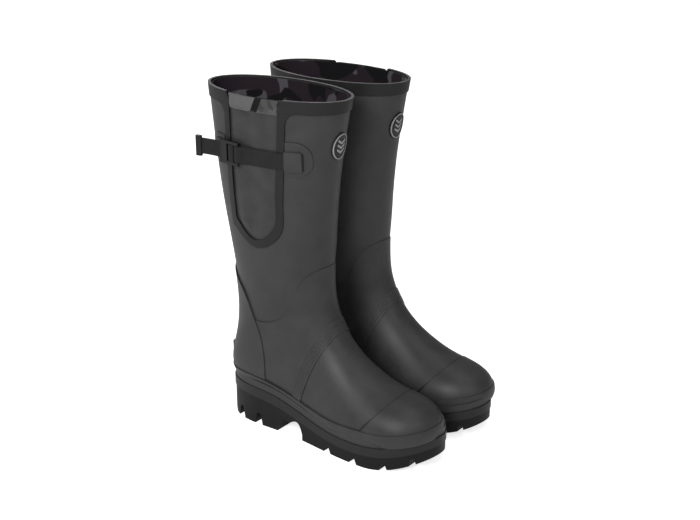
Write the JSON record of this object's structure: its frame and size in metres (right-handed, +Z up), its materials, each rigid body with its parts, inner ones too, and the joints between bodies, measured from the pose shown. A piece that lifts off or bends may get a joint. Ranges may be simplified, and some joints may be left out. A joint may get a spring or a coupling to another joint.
{
  "type": "pair of rubber boots",
  "caption": "Pair of tall rubber boots with a strapped calf gusset, lugged soles and a cloth lining, standing side by side.",
  "frame": {"origin": "on the ground at the middle of the pair's bounding box", "axes": "+Z up, toes towards -Y, the right boot at -X"},
  "size_m": [0.2322, 0.3331, 0.4254],
  "materials": {
    "sole_rubber": "matt moulded",
    "midsole_rubber": "satin",
    "boot_rubber": "satin",
    "shank_steel": "brushed",
    "board": "matt",
    "insole_foam": "woven",
    "lining_fabric": "woven",
    "tape": "satin",
    "gusset_fabric": "satin",
    "hem_fabric": "woven",
    "webbing": "woven",
    "buckle_plastic": "matt",
    "badge_rubber": "satin",
    "badge_ink": "matt"
  },
  "bodies": {
    "right_boot": {"right_outsole": "sole_rubber", "right_midsole": "midsole_rubber", "right_foxing": "boot_rubber", "right_shank": "shank_steel", "right_insole_board": "board", "right_insole": "insole_foam", "right_shell": "boot_rubber", "right_lining": "lining_fabric", "right_galosh": "boot_rubber", "right_toe_cap": "boot_rubber", "right_instep_band": "boot_rubber", "right_heel_stay": "boot_rubber", "right_kick_spur": "sole_rubber", "right_rim_binding": "tape", "right_gusset_binding": "tape", "right_gusset_panel": "gusset_fabric", "right_gusset_hem": "hem_fabric", "right_front_strap": "webbing", "right_front_strap_patch": "boot_rubber", "right_rear_strap": "webbing", "right_rear_strap_patch": "boot_rubber", "right_badge_plate": "badge_rubber", "right_badge_emblem": "badge_ink"},
    "right_buckle": {"right_buckle": "buckle_plastic", "right_strap_turn": "webbing"},
    "right_strap_tail": {"right_strap_tail": "webbing", "right_tail_clip": "buckle_plastic"},
    "left_boot": {"left_outsole": "sole_rubber", "left_midsole": "midsole_rubber", "left_foxing": "boot_rubber", "left_shank": "shank_steel", "left_insole_board": "board", "left_insole": "insole_foam", "left_shell": "boot_rubber", "left_lining": "lining_fabric", "left_galosh": "boot_rubber", "left_toe_cap": "boot_rubber", "left_instep_band": "boot_rubber", "left_heel_stay": "boot_rubber", "left_kick_spur": "sole_rubber", "left_rim_binding": "tape", "left_gusset_binding": "tape", "left_gusset_panel": "gusset_fabric", "left_gusset_hem": "hem_fabric", "left_front_strap": "webbing", "left_front_strap_patch": "boot_rubber", "left_rear_strap": "webbing", "left_rear_strap_patch": "boot_rubber", "left_badge_plate": "badge_rubber", "left_badge_emblem": "badge_ink"},
    "left_buckle": {"left_buckle": "buckle_plastic", "left_strap_turn": "webbing"},
    "left_strap_tail": {"left_strap_tail": "webbing", "left_tail_clip": "buckle_plastic"}
  },
  "joints": [
    {"name": "right_buckle_tilt", "type": "hinge", "parent": "right_boot", "child": "right_buckle", "pos_m": [-0.1128, 0.0855, 0.354], "axis": [0, 0, 1], "range_deg": [0, 35]},
    {"name": "right_tail_pull", "type": "slide", "parent": "right_buckle", "child": "right_strap_tail", "axis": [0.1736, 0.9848, 0], "range_m": [0, 0.012]},
    {"name": "left_buckle_tilt", "type": "hinge", "parent": "left_boot", "child": "left_buckle", "pos_m": [0.1128, 0.0855, 0.354], "axis": [0, 0, -1], "range_deg": [0, 35]},
    {"name": "left_tail_pull", "type": "slide", "parent": "left_buckle", "child": "left_strap_tail", "axis": [-0.1736, 0.9848, 0], "range_m": [0, 0.012]},
    {"name": "left_boot_lift", "type": "slide", "parent": "right_boot", "child": "left_boot", "axis": [0, 0, 1], "range_m": [0, 0.45]}
  ]
}
